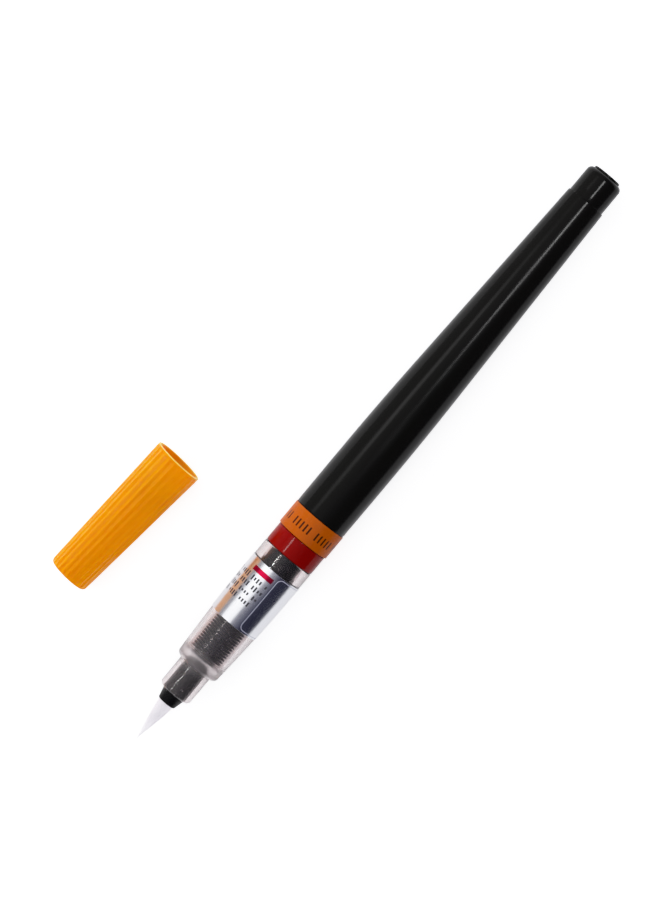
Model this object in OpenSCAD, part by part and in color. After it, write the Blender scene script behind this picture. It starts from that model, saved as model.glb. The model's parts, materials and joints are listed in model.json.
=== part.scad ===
// Squeeze-barrel brush pen with its cap lying beside it.
// The pen lies along X with the brush point towards -X, resting on the plane z = 0.
// Every place along the pen is a distance in mm from the brush point.

/* [Brush] */
// Length of bristle that shows in front of the collar
tuft_len = 11.3; // [8:0.1:12]
// Radius of the tuft where it leaves the collar
tuft_r = 2.05; // [1.6:0.01:2.1]
// Radius of the collar at its front lip
collar_lip_r = 2.35; // [2.3:0.01:2.6]
// Radius of the collar where it meets the nose
collar_r = 3.02; // [2.9:0.01:3.1]
// Radius of the holder inside the nose
holder_r = 3.27; // [3.1:0.01:3.3]
// Width of the air slot along the holder and the feeder
slot_w = 0.6; // [0.4:0.05:0.8]

/* [Section] */
// Distance from the brush point to the front of the nose
nose_x = 14.2; // [13.8:0.1:14.6]
// Outer radius of the nose, which the cap's liner grips
nose_r = 4.45; // [4.3:0.01:4.5]
// Distance from the brush point to the shoulder behind the nose
shoulder_x = 22.3; // [21.5:0.1:23]
// Outer radius just behind the shoulder
shoulder_r = 5.95; // [5.8:0.01:6.1]
// Outer radius at the rear of the section
section_r = 6.91; // [6.7:0.01:7]
// Distance from the brush point to the rear face of the section
section_end = 57.5; // [57:0.1:58]
// Radius of the main bore
section_bore_r = 5; // [4.98:0.01:5.1]
// Start of the label, from the brush point
label_x = 36.7; // [36:0.1:37.5]
// Length of the label
label_len = 16.3; // [15:0.1:17]
// Thickness of the label film
label_t = 0.06; // [0.04:0.01:0.08]

/* [Feeder] */
// Number of fins on the comb
fin_count = 17; // [14:1:17]
// Distance from fin to fin
fin_pitch = 0.75; // [0.7:0.01:0.75]
// Thickness of one fin
fin_t = 0.35; // [0.3:0.01:0.4]
// Radius of the fins
fin_r = 4.4; // [4.2:0.05:4.6]
// Radius of the comb's core
core_r = 2.6; // [2.4:0.05:2.8]
// Radius of the fibre wick
wick_r = 0.95; // [0.8:0.01:1]
// Outer radius of the inlet tube
tube_r = 1.6; // [1.5:0.01:1.65]

/* [Ring and band] */
// Outer radius of the stopper ring
ring_r = 6.9; // [6.8:0.01:7]
// Length of the stopper ring
ring_len = 5.1; // [4.8:0.05:5.2]
// Outer radius of the colour band
band_r = 7.2; // [7.15:0.01:7.3]
// Length of the colour band
band_len = 6.6; // [6:0.1:6.8]

/* [Neck] */
// Radius of the smooth collar between the section and the ring
neck_collar_r = 4.25; // [4.1:0.05:4.4]
// Pitch of the neck's thread
thread_pitch = 1.5; // [1.2:0.1:1.6]
// Radius of the ball that seals the unused barrel
ball_r = 2; // [1.8:0.05:2]

/* [Barrel] */
// Length of the whole pen without its cap
pen_len = 176.9; // [176:0.1:178]
// Radius of the barrel behind the band
barrel_front_r = 7.08; // [7:0.01:7.1]
// Largest radius of the barrel
belly_r = 7.13; // [7.1:0.01:7.15]
// Narrowing of the barrel per mm of length behind its belly
taper = 0.0285; // [0.027:0.0005:0.03]
// Wall thickness of the barrel
barrel_wall = 1.05; // [1:0.05:1.1]
// Radius of the straight tail
tail_r = 4.9; // [4.7:0.01:4.95]
// Length of the straight tail and its rounded end
tail_len = 8.5; // [8:0.1:9]

/* [Cap] */
// Length of the cap
cap_len = 39; // [38:0.1:40]
// Outer radius at the mouth
cap_mouth_r = 6.5; // [6.45:0.01:6.6]
// Outer radius at the closed end
cap_end_r = 5.38; // [5.3:0.01:5.4]
// Radius of the bore behind the mouth
cap_bore_r = 5.93; // [5.9:0.01:5.95]
// Length of the bore behind the mouth
cap_bore_len = 8.6; // [8:0.1:9]
// Number of flutes round the cap
flute_count = 24; // [20:1:26]
// Depth of each flute
flute_depth = 0.18; // [0.12:0.01:0.2]
// Width of each flute
flute_w = 1.05; // [0.9:0.05:1.1]
// Distance from the brush point to the cap's closed end, along the pen
cap_x = 19.4; // [15:0.1:25]
// Distance from the pen's axis to the centre of the cap's closed end
cap_y = 38; // [34:0.1:42]
// Angle between the cap and the pen
cap_turn = 4.4; // [0:0.1:8]

/* [Hidden] */
$fn = 96;
arc_steps = 8;
skin_gap = 0.02;             // between pieces that are glued or pressed together
run_gap = 0.1;               // between pieces that turn or slide on each other

// Section, holder and feeder
nose_round = 1.1;
shoulder_round = 1.3;
shoulder_len = 1.7;
shoulder_rise = 0.2;
shoulder_end = shoulder_x + shoulder_len;
swell_len = 26;              // over this length the section swells from its shoulder to its full radius
rear_round = 0.3;
nose_bore_r = holder_r + 0.06;
nose_bore_end = 24.4;
collar_len = 2.6;
collar_round = 0.4;
collar_chamfer = 0.3;
holder_end = 26.2;
tuft_bore_r = tuft_r + 0.05;
tuft_base_x = 15;
tuft_base_len = 1.5;
tuft_base_r = 2.3;
wick_x = tuft_base_x + tuft_base_len + run_gap;
wick_bore_r = wick_r + skin_gap;
comb_x = holder_end + skin_gap;
fins_x = comb_x + 0.4;
comb_end = fins_x + fin_count * fin_pitch;
flange_len = 1.4;
flange_r = section_bore_r - skin_gap;
flange_end = comb_end + flange_len;
tube_end = 47.6;
slot_y = -0.9;               // the slot lies a little to one side of the axis
slot_lead = 2;               // from the nose's front to the slot's
slot_floor = 1.75;           // height of the slot's floor above the axis

// Ring, neck and seal
ring_x = section_end + run_gap;
ring_end = ring_x + ring_len;
ring_bore_r = section_bore_r;   // it passes over the thread when the ring is taken off
band_x = ring_end + run_gap;
band_end = band_x + band_len;
band_t = 0.35;
neck_x = 46.6;
neck_crest_r = section_bore_r - run_gap;
neck_root_r = neck_crest_r - 0.5;
thread_len = 6;
thread_lead = 0.6;
thread_crest = 0.4;
thread_end = neck_x + thread_len;
neck_bore_r = 3;
neck_waist_r = ring_bore_r - run_gap;
neck_flange_len = 1.4;         // behind the thread, before the collar
neck_seat_r = 6;
neck_lap = 1.1;              // how far the neck reaches into the barrel past the band
neck_end = band_end + neck_lap;
neck_wall = 1.2;
plug_lap = 0.6;              // how far the plug reaches over the tube
plug_x = tube_end - plug_lap;
plug_r = 3.6;
plug_len = 5.6;
ball_gap = 0.05;
ball_lift = 0.4;             // between the tube's end and the ball
ball_x = tube_end + ball_lift + ball_r;

// Barrel
belly_x = 81;
knee_x = 88;
knee_curve = 0.0006;
knee_len = taper / (2 * knee_curve);
tail_x = pen_len - tail_len;
tail_step = 0.25;
tail_round = 1.4;
tail_bore_r = 3.25;
tail_wall_len = 6;
cavity_slope = 2;
plug_head_r = 3.7;
plug_head_len = 0.7;
plug_stem_len = 5;
shell_end = pen_len - plug_head_len;

// Cap
cap_slope = atan((cap_mouth_r - cap_end_r) / cap_len);
cap_end_wall = 1.3;
cap_round = 0.9;
cap_lip = 0.8;               // plain rim between the flutes and the mouth
cap_lip_round = 0.25;
liner_len = 5;
liner_r = 5.35;
liner_bore_r = nose_r + 0.03;
liner_x = cap_len - cap_bore_len - liner_len;
cap_core_r = 4.9;
cap_core_end_r = 4.3;
flute_r = (pow(flute_w / 2, 2) + pow(flute_depth, 2)) / (2 * flute_depth);
flute_len = cap_len - cap_lip;

// The origin is under the middle of the box round the pen and its cap
mid_x = pen_len / 2;
mid_y = (cap_y + cap_end_r * cos(cap_turn) - band_r) / 2;

// Points on a circle about (r, x), for a turned outline whose points are [radius, place]
function arc(r, x, radius, from, to) =
    [for (i = [0:arc_steps]) let (a = from + (to - from) * i / arc_steps)
        [r + radius * cos(a), x + radius * sin(a)]];

// Outer radius of the section behind its shoulder
function swell_r(x) =
    shoulder_r + (section_r - shoulder_r) * sin(90 * min(1, (x - shoulder_end) / swell_len));

// Outer radius of the barrel between its knee and its tail
function taper_r(x) =
    let (d = x - knee_x)
    belly_r - (d < knee_len ? knee_curve * d * d : taper * d - taper * knee_len / 2);

// Outer radius of the cap at a distance from its closed end
function cap_r(x) = cap_end_r + (cap_mouth_r - cap_end_r) * x / cap_len;

// Turns an outline of [radius, place along the axis] about the X axis
module turned(outline) {
    rotate([0, 90, 0]) rotate_extrude() polygon(outline);
}

// A plain tube or, with no bore, a rod along X
module rod(from, to, r) {
    translate([from, 0, 0]) rotate([0, 90, 0]) cylinder(h = to - from, r = r);
}

// Stands the pen on the plane z = 0 and brings the shared origin to the middle of the whole
module pen_place() {
    translate([-mid_x, -mid_y, band_r]) children();
}

// Lays the cap on its side, so that one flute's ridge rests on the plane z = 0
module cap_place() {
    translate([cap_x - mid_x, cap_y - mid_y, cap_end_r * cos(cap_slope)])
        rotate([0, 0, -cap_turn]) rotate([0, -cap_slope, 0]) children();
}

module cap_shell() {
    outline = concat(
        [[0, 0]],
        arc(cap_end_r - cap_round, cap_round, cap_round, -90, 0),
        arc(cap_mouth_r - cap_lip_round, cap_len - cap_lip_round, cap_lip_round, 0, 90),
        [[cap_bore_r, cap_len], [cap_bore_r, cap_len - cap_bore_len], [liner_r, cap_len - cap_bore_len],
        [liner_r, liner_x], [cap_core_r, liner_x], [cap_core_end_r, cap_end_wall], [0, cap_end_wall]]);
    color("orange") cap_place() difference() {
        turned(outline);
        for (i = [0:flute_count - 1])
            rotate([(i + 0.5) * 360 / flute_count, 0, 0])
                translate([-cap_len / 2, 0, cap_r(-cap_len / 2) - flute_depth + flute_r])
                    rotate([0, 90 - cap_slope, 0])
                        cylinder(h = cap_len / 2 + flute_len, r = flute_r, $fn = 32);
    }
}

module cap_inner_seal() {
    lead = 0.4;
    outline = [[liner_bore_r, liner_x + skin_gap], [liner_r - skin_gap, liner_x + skin_gap],
        [liner_r - skin_gap, liner_x + liner_len], [liner_bore_r + lead, liner_x + liner_len],
        [liner_bore_r, liner_x + liner_len - lead]];
    color("navajowhite") cap_place() turned(outline);
}

module section_shell() {
    swell = [for (i = [0:2 * arc_steps]) let (x = shoulder_end + swell_len * i / (2 * arc_steps))
        [swell_r(x), x]];
    outline = concat(
        [[nose_bore_r, nose_x]],
        arc(nose_r - nose_round, nose_x + nose_round, nose_round, -90, 0),
        [[nose_r, shoulder_x]],
        arc(shoulder_r - shoulder_round, shoulder_end - shoulder_rise, shoulder_round, -90, -8),
        swell,
        arc(section_r - rear_round, section_end - rear_round, rear_round, 0, 90),
        [[section_bore_r, section_end], [section_bore_r, nose_bore_end], [nose_bore_r, nose_bore_end]]);
    color("white", 0.5) pen_place() turned(outline);
}

module section_label() {
    steps = [for (i = [0:arc_steps]) label_x + label_len * i / arc_steps];
    outline = concat(
        [for (x = steps) [swell_r(x) + skin_gap + label_t, x]],
        [for (i = [arc_steps:-1:0]) [swell_r(steps[i]) + skin_gap, steps[i]]]);
    color("silver") pen_place() turned(outline);
}

module brush_holder() {
    collar_end = tuft_len + collar_len;
    outline = concat(
        [[tuft_bore_r, tuft_len]],
        arc(collar_lip_r - collar_round / 2, tuft_len + collar_round / 2, collar_round / 2, -90, 0),
        [[collar_r, collar_end], [holder_r, collar_end + collar_chamfer], [holder_r, holder_end],
        [wick_bore_r, holder_end],
        [wick_bore_r, tuft_base_x + tuft_base_len], [tuft_base_r + skin_gap, tuft_base_x + tuft_base_len],
        [tuft_base_r + skin_gap, tuft_base_x], [tuft_bore_r, tuft_base_x]]);
    color("black") pen_place() difference() {
        turned(outline);
        translate([nose_x + slot_lead, slot_y - slot_w / 2, slot_floor]) cube([holder_end, slot_w, holder_r]);
    }
}

module brush_tuft() {
    // The bristles close to a point along a softly curved flank
    fullness = 0.28;
    flank = [for (i = [0:arc_steps]) let (u = i / arc_steps)
        [tuft_r * ((1 + fullness) * u - fullness * u * u), tuft_len * u]];
    outline = concat(flank, [[tuft_r, tuft_base_x], [0, tuft_base_x]]);
    color("whitesmoke") pen_place() turned(outline);
}

module tuft_base() {
    color("gainsboro") pen_place() rod(tuft_base_x, tuft_base_x + tuft_base_len, tuft_base_r);
}

module feed_wick() {
    color("lightgray") pen_place() rod(wick_x, flange_end, wick_r);
}

module feeder_comb() {
    fins = [for (i = [0:fin_count - 1]) let (x = fins_x + i * fin_pitch)
        each [[core_r, x], [fin_r, x], [fin_r, x + fin_t], [core_r, x + fin_t]]];
    outline = concat(
        [[wick_bore_r, comb_x], [core_r, comb_x]],
        fins,
        [[core_r, comb_end], [flange_r, comb_end], [flange_r, flange_end], [wick_bore_r, flange_end]]);
    color("dimgray") pen_place() difference() {
        turned(outline);
        translate([comb_x - flange_len, slot_y - slot_w / 2, slot_floor])
            cube([comb_end - comb_x + flange_len, slot_w, fin_r]);
    }
}

module inlet_tube() {
    lead = 0.3;
    outline = [[wick_bore_r, flange_end + skin_gap], [tube_r, flange_end + skin_gap],
        [tube_r, tube_end - lead], [tube_r - lead, tube_end], [wick_bore_r, tube_end]];
    color("gray") pen_place() turned(outline);
}

module stopper_ring() {
    round = 0.3;
    outline = concat(
        [[ring_bore_r, ring_x]],
        arc(ring_r - round, ring_x + round, round, -90, 0),
        arc(ring_r - round, ring_end - round, round, 0, 90),
        [[ring_bore_r, ring_end]]);
    color("firebrick") pen_place() turned(outline);
}

module barrel_shell() {
    edge = 0.25;
    knee = [for (i = [0:arc_steps]) let (x = knee_x + knee_len * i / arc_steps) [taper_r(x), x]];
    cavity_end = shell_end - tail_wall_len;
    outline = concat(
        [[neck_seat_r + skin_gap, band_x], [band_r - band_t - skin_gap, band_x],
        [band_r - band_t - skin_gap, band_end + run_gap], [barrel_front_r - edge, band_end + run_gap],
        [barrel_front_r, band_end + run_gap + edge], [belly_r, belly_x]],
        knee,
        [[taper_r(tail_x), tail_x], [tail_r, tail_x + tail_step]],
        arc(tail_r - tail_round, shell_end - tail_round, tail_round, 0, 90),
        [[tail_bore_r, shell_end], [tail_bore_r, cavity_end],
        [taper_r(tail_x) - barrel_wall, tail_x - cavity_slope]],
        [for (i = [arc_steps:-1:0]) [knee[i][0] - barrel_wall, knee[i][1]]],
        [[belly_r - barrel_wall, neck_end + cavity_slope / 2], [neck_seat_r + skin_gap, neck_end]]);
    color("#151515") pen_place() turned(outline);
}

module colour_band() {
    round = 0.12;
    outline = concat(
        [[band_r - band_t, band_x]],
        arc(band_r - round, band_x + round, round, -90, 0),
        arc(band_r - round, band_end - round, round, 0, 90),
        [[band_r - band_t, band_end]]);
    color("darkorange") pen_place() turned(outline);
}

module neck_connector() {
    turns = floor(thread_len / thread_pitch);
    ridges = [for (i = [0:turns - 1]) let (x = neck_x + thread_lead + i * thread_pitch)
        each [[neck_root_r, x], [neck_crest_r, x + thread_crest], [neck_crest_r, x + 2 * thread_crest],
            [neck_root_r, x + 3 * thread_crest]]];
    neck_collar_x = thread_end + neck_flange_len;
    outline = concat(
        [[neck_bore_r, neck_x], [neck_root_r, neck_x]],
        ridges,
        [[neck_root_r, thread_end], [neck_crest_r, thread_end + thread_crest], [neck_crest_r, neck_collar_x],
        [neck_collar_r, neck_collar_x], [neck_collar_r, ring_x], [neck_waist_r, ring_x],
        [neck_waist_r, ring_end], [neck_seat_r, band_x], [neck_seat_r, neck_end],
        [neck_seat_r - neck_wall, neck_end], [neck_collar_r - neck_wall / 2, section_end],
        [plug_r + skin_gap, plug_x + plug_len + neck_wall / 2], [plug_r + skin_gap, plug_x],
        [neck_bore_r, plug_x]]);
    color("#202024") pen_place() turned(outline);
}

module neck_plug() {
    ball_bore_r = ball_r + ball_gap;
    seat_x = ball_x - ball_r;
    outline = [[tube_r + ball_gap, plug_x + skin_gap], [plug_r, plug_x + skin_gap],
        [plug_r, plug_x + plug_len], [ball_bore_r, plug_x + plug_len],
        [ball_bore_r, seat_x], [tube_r + ball_gap, seat_x]];
    color("slategray") pen_place() turned(outline);
}

module tail_plug() {
    crown = 0.25;
    outline = concat(
        [[0, shell_end - plug_stem_len], [tail_bore_r - skin_gap, shell_end - plug_stem_len],
        [tail_bore_r - skin_gap, shell_end + skin_gap], [plug_head_r, shell_end + skin_gap],
        [plug_head_r, pen_len - 2 * crown], [plug_head_r - crown, pen_len - crown]],
        [[0, pen_len]]);
    color("#1c1c1e") pen_place() turned(outline);
}

module seal_ball() {
    color("lightsteelblue") pen_place() translate([ball_x, 0, 0]) sphere(r = ball_r);
}

cap_shell();
cap_inner_seal();
section_shell();
section_label();
brush_holder();
brush_tuft();
tuft_base();
feed_wick();
feeder_comb();
inlet_tube();
stopper_ring();
barrel_shell();
colour_band();
neck_connector();
neck_plug();
tail_plug();
seal_ball();
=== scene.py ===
import json
import math
import random

import bpy
from mathutils import Matrix, Vector


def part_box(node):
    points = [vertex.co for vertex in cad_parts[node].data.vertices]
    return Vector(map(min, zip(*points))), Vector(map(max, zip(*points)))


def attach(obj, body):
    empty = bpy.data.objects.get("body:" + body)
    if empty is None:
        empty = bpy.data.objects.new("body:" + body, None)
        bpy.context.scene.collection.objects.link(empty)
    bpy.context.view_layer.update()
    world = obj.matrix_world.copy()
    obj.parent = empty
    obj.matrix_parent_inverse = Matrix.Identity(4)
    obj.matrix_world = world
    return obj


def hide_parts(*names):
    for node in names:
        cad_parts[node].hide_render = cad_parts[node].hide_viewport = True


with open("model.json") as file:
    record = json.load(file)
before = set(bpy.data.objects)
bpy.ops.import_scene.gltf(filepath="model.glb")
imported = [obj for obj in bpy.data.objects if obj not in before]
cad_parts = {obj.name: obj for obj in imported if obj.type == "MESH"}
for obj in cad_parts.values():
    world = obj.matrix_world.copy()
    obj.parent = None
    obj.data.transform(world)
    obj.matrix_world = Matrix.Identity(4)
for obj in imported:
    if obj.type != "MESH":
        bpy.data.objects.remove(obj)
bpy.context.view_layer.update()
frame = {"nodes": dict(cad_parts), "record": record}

mm = 0.001
print("frame loaded:", len(frame["nodes"]), "CAD nodes")

# every place is counted from the brush point and the pen's axis, which the frame gives
mounts = {m["name"]: m for m in frame["record"]["mounts"]}
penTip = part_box("brush_tuft")[0].x
barrelLow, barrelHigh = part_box("barrel_shell")
axisY = (barrelLow.y + barrelHigh.y) / 2
axisZ = (barrelLow.z + barrelHigh.z) / 2


def span(node):
    # where a turned node starts and ends, in mm from the brush point, and its largest radius
    low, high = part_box(node)
    return (low.x - penTip) / mm, (high.x - penTip) / mm, (high.y - low.y) / 2 / mm


def deselect():
    if bpy.context.mode != "OBJECT":
        bpy.ops.object.mode_set(mode="OBJECT")
    bpy.ops.object.select_all(action="DESELECT")


def only(piece):
    deselect()
    piece.select_set(True)
    bpy.context.view_layer.objects.active = piece


def arc(x, r, radius, start, end, steps=6):
    # outline points on a quarter or so of a circle about (x, r), angles in degrees from +x
    turns = [math.radians(start + (end - start) * i / steps) for i in range(steps + 1)]
    return [(x + radius * math.cos(a), r + radius * math.sin(a)) for a in turns]


def spun(name, outline, steps=128, onPen=True):
    # draws an outline of (place, radius) in mm and spins it round the pen, or round the X axis
    deselect()
    centre = Vector((penTip, axisY, axisZ)) if onPen else Vector((0, 0, 0))
    points = [centre + Vector((x * mm, 0, r * mm)) for x, r in outline]
    bpy.ops.mesh.primitive_plane_add(size=mm, location=points[0])
    piece = bpy.context.active_object
    piece.name = name
    bpy.ops.object.transform_apply(location=True, rotation=False, scale=False)
    bpy.ops.object.mode_set(mode="EDIT")
    bpy.ops.mesh.merge(type="CENTER")
    for here, there in zip(points, points[1:]):
        bpy.ops.mesh.extrude_region_move(TRANSFORM_OT_translate={"value": there - here})
    bpy.ops.mesh.select_all(action="SELECT")
    bpy.ops.mesh.spin(steps=steps, angle=math.tau, center=centre, axis=(1, 0, 0))
    bpy.ops.mesh.select_all(action="SELECT")
    bpy.ops.mesh.remove_doubles(threshold=0.002 * mm)
    bpy.ops.mesh.normals_make_consistent(inside=False)
    bpy.ops.object.mode_set(mode="OBJECT")
    return piece


def soften(piece, width, segments=3, angle=40):
    # bevels the sharp edges and shades the rest smooth, with the long faces kept straight
    only(piece)
    bevel = piece.modifiers.new("edges", "BEVEL")
    bevel.width = width * mm
    bevel.segments = segments
    bevel.limit_method = "ANGLE"
    bevel.angle_limit = math.radians(angle)
    bevel.use_clamp_overlap = True
    bpy.ops.object.modifier_apply(modifier=bevel.name)
    bpy.ops.object.shade_smooth_by_angle(angle=math.radians(angle))
    straight = piece.modifiers.new("straight", "WEIGHTED_NORMAL")
    straight.keep_sharp = True
    bpy.ops.object.modifier_apply(modifier=straight.name)
    return piece


def cut(piece, low, high):
    # cuts a box, given by two corners, out of a piece
    deselect()
    bpy.ops.mesh.primitive_cube_add(size=1, location=(low + high) / 2)
    tool = bpy.context.active_object
    tool.scale = high - low
    bpy.ops.object.transform_apply(location=True, rotation=False, scale=True)
    only(piece)
    boolean = piece.modifiers.new("slot", "BOOLEAN")
    boolean.operation = "DIFFERENCE"
    boolean.solver = "EXACT"
    boolean.object = tool
    bpy.ops.object.modifier_apply(modifier=boolean.name)
    bpy.data.objects.remove(tool, do_unlink=True)


def onBody(piece, body, node, material):
    # a finished piece rides on its body and stands for its CAD node
    piece.data.materials.clear()
    piece.data.materials.append(material)
    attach(piece, body)
    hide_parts(node)


def hexColour(text):
    # an sRGB hex value as linear light
    parts = [int(text[i:i + 2], 16) / 255 for i in (0, 2, 4)]
    return tuple(c / 12.92 if c <= 0.04045 else ((c + 0.055) / 1.055) ** 2.4 for c in parts) + (1,)


def addNode(tree, kind, inputs=None, **settings):
    # adds a node, with its settings, and its inputs as values or as links
    node = tree.nodes.new(kind)
    for key, value in settings.items():
        setattr(node, key, value)
    for key, value in (inputs or {}).items():
        if isinstance(value, bpy.types.NodeSocket):
            tree.links.new(value, node.inputs[key])
        else:
            node.inputs[key].default_value = value
    return node


def newMaterial(name, colour, roughness, **sockets):
    # a material whose shader holds the values that are the same all over
    material = bpy.data.materials.new(name)
    material.use_nodes = True
    shader = material.node_tree.nodes["Principled BSDF"]
    shader.inputs["Base Color"].default_value = hexColour(colour)
    shader.inputs["Roughness"].default_value = roughness
    for key, value in sockets.items():
        shader.inputs[key.replace("_", " ")].default_value = value
    return material, material.node_tree, shader


def penCoordinates(tree, scale=1 / mm):
    # object coordinates in mm, from the brush point and the pen's axis
    place = addNode(tree, "ShaderNodeTexCoord")
    return addNode(tree, "ShaderNodeMapping", {
        "Vector": place.outputs["Object"],
        "Location": (-penTip * scale, -axisY * scale, -axisZ * scale),
        "Scale": (scale, scale, scale)}).outputs["Vector"]


def unrolled(tree, vector, radius):
    # a point's place along the pen, and round it at a radius, in mm
    split = addNode(tree, "ShaderNodeSeparateXYZ", {0: vector})
    turn = addNode(tree, "ShaderNodeMath", {0: split.outputs[1], 1: split.outputs[2]}, operation="ARCTAN2")
    around = addNode(tree, "ShaderNodeMath", {0: turn.outputs[0], 1: radius}, operation="MULTIPLY")
    return split.outputs[0], around.outputs[0]


def repeats(tree, value, start, pitch):
    # the number of the cell that a value falls in, and how far across that cell it is
    past = addNode(tree, "ShaderNodeMath", {0: value, 1: start}, operation="SUBTRACT")
    cell = addNode(tree, "ShaderNodeMath", {0: past.outputs[0], 1: pitch}, operation="DIVIDE")
    index = addNode(tree, "ShaderNodeMath", {0: cell.outputs[0]}, operation="FLOOR")
    share = addNode(tree, "ShaderNodeMath", {0: cell.outputs[0]}, operation="FRACT")
    return index.outputs[0], share.outputs[0]


def allOf(tree, *limits):
    # 1 where every limit holds, else 0; a limit is a comparison and its values
    shown = None
    for comparison, *values in limits:
        holds = addNode(tree, "ShaderNodeMath", dict(enumerate(values)), operation=comparison).outputs[0]
        if shown is not None:
            holds = addNode(tree, "ShaderNodeMath", {0: shown, 1: holds}, operation="MULTIPLY").outputs[0]
        shown = holds
    return shown


def shadeBy(tree, value, low, high, stops):
    # colours at their places between low and high, blended as the value goes from one to the other
    spread = addNode(tree, "ShaderNodeMapRange", {"Value": value, "From Min": low, "From Max": high})
    ramp = addNode(tree, "ShaderNodeValToRGB", {"Fac": spread.outputs[0]})
    elements = ramp.color_ramp.elements
    while len(elements) < len(stops):
        elements.new(0.5)
    for element, (place, colour) in zip(elements, stops):
        element.position = (place - low) / (high - low)
        element.color = colour
    return ramp.outputs[0]


def mottle(tree, shader, vector, colours, rough, grain, bump=0.0, bumpSize=0.01):
    # moulded plastic is never even: its colour drifts a little and its skin has a fine orange peel, whose
    # sizes are in mm
    drift = addNode(tree, "ShaderNodeTexNoise", {
        "Vector": vector, "Scale": 1 / grain["drift"], "Detail": 3.0})
    tint = addNode(tree, "ShaderNodeMix", {
        "Factor": drift.outputs[0], 6: hexColour(colours[0]), 7: hexColour(colours[1])},
        data_type="RGBA")
    tree.links.new(tint.outputs[2], shader.inputs["Base Color"])
    skin = addNode(tree, "ShaderNodeTexNoise", {"Vector": vector, "Scale": 1 / grain["skin"], "Detail": 4.0})
    spread = addNode(tree, "ShaderNodeMapRange", {
        "Value": skin.outputs[0], "From Min": 0.3, "From Max": 0.7,
        "To Min": rough[0], "To Max": rough[1]})
    tree.links.new(spread.outputs[0], shader.inputs["Roughness"])
    if bump:
        peel = addNode(tree, "ShaderNodeBump", {
            "Height": skin.outputs[0], "Strength": bump, "Distance": bumpSize * mm})
        tree.links.new(peel.outputs["Normal"], shader.inputs["Normal"])
    return tint


def barrelPlastic():
    # polypropylene, moulded in a polished tool: near-black, a soft gloss, faint flow lines along the barrel
    material, tree, shader = newMaterial("polypropyleneMouldedBlack", "0C0B0A", 0.16, IOR=1.49,
                                         Specular_IOR_Level=0.14)
    vector = penCoordinates(tree)
    flow = addNode(tree, "ShaderNodeMapping", {"Vector": vector, "Scale": (0.08, 1.0, 1.0)})
    mottle(tree, shader, flow.outputs["Vector"], ("0A0A08", "0E0D0C"), (0.14, 0.22),
           {"drift": 6.0, "skin": 1.4}, 0.1, 0.012)
    return material


def capPlastic():
    # polypropylene, moulded, dyed right through: light enters the thin wall and warms the shaded side
    material, tree, shader = newMaterial("polypropyleneMouldedOrange", "E68400", 0.3, IOR=1.49,
                                         Specular_IOR_Level=0.08, Subsurface_Weight=0.8,
                                         Subsurface_Radius=(1.0, 0.75, 0.04), Subsurface_Scale=1.6 * mm)
    tint = mottle(tree, shader, penCoordinates(tree), ("D98000", "E18800"), (0.15, 0.22),
                  {"drift": 9.0, "skin": 0.5}, 0.12, 0.012)
    # the mouth's edge is painted paler: a painted highlight for the light that the thin, polished rim
    # catches and lets through
    rimHighlight = {"depth": 0.22, "colour": "F4C060"}
    mouth = mounts["cap_mouth"]
    halfBore = mouth["dims"]["length_mm"] / 2
    edge = Vector(mouth["pos_m"]) + Vector(mouth["axis"]) * (halfBore - rimHighlight["depth"]) * mm
    place = addNode(tree, "ShaderNodeTexCoord")
    beyond = addNode(tree, "ShaderNodeVectorMath", {0: place.outputs["Object"], 1: edge},
                     operation="SUBTRACT")
    along = addNode(tree, "ShaderNodeVectorMath", {0: beyond.outputs[0], 1: mouth["axis"]},
                    operation="DOT_PRODUCT")
    rimHighlighted = addNode(tree, "ShaderNodeMix", {
        "Factor": allOf(tree, ("GREATER_THAN", along.outputs["Value"], 0.0)),
        6: tint.outputs[2], 7: hexColour(rimHighlight["colour"])}, data_type="RGBA")
    tree.links.new(rimHighlighted.outputs[2], shader.inputs["Base Color"])
    return material


def linerPlastic():
    # polyethylene, moulded, undyed: a waxy ivory that gives a soft seal
    material, tree, shader = newMaterial("polyethyleneMouldedIvory", "F3DDB0", 0.45, IOR=1.51)
    mottle(tree, shader, penCoordinates(tree), ("F0D8A8", "F7E6C4"), (0.4, 0.5),
           {"drift": 4.0, "skin": 0.4}, 0.1)
    return material


def sectionPlastic():
    # polypropylene, moulded, undyed: clear enough to see the feeder, with a milky rose haze in the wall
    material, tree, shader = newMaterial("polypropyleneMouldedClear", "F0E2DE", 0.08, IOR=1.45,
                                         Specular_IOR_Level=0.3)
    vector = penCoordinates(tree)
    mottle(tree, shader, vector, ("E2D8D8", "EAE1E2"), (0.06, 0.075), {"drift": 7.0, "skin": 1.0})
    # the wall is thickest at the shoulder, so it is milkiest there, and clearest round the neck
    wall = {"reach": 60.0,
            "clear": ((20.5, 0.96), (22.8, 0.9), (26.0, 0.915), (27.5, 0.965), (40, 0.97), (53, 0.985)),
            "haze": ((21.0, 0.0), (22.6, 0.22), (26.2, 0.22), (27.6, 0.03), (42, 0.01))}
    along = addNode(tree, "ShaderNodeSeparateXYZ", {0: vector}).outputs[0]
    clear, haze = (shadeBy(tree, along, 0.0, wall["reach"], [(place, (share, share, share, 1))
                                                             for place, share in wall[stops]])
                   for stops in ("clear", "haze"))
    tree.links.new(clear, shader.inputs["Transmission Weight"])
    polish = shader.inputs["Roughness"].links[0].from_socket
    rough = addNode(tree, "ShaderNodeMath", {0: polish, 1: haze}, operation="ADD")
    tree.links.new(rough.outputs[0], shader.inputs["Roughness"])
    return material


def holderPlastic():
    # ABS, moulded, black: it holds the bristles and shows its edge round the nose
    material, tree, shader = newMaterial("absMouldedBlack", "080809", 0.28, IOR=1.53, Specular_IOR_Level=0.1)
    mottle(tree, shader, penCoordinates(tree), ("070708", "0C0C0E"), (0.22, 0.34),
           {"drift": 3.0, "skin": 0.3}, 0.1)
    return material


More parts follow.
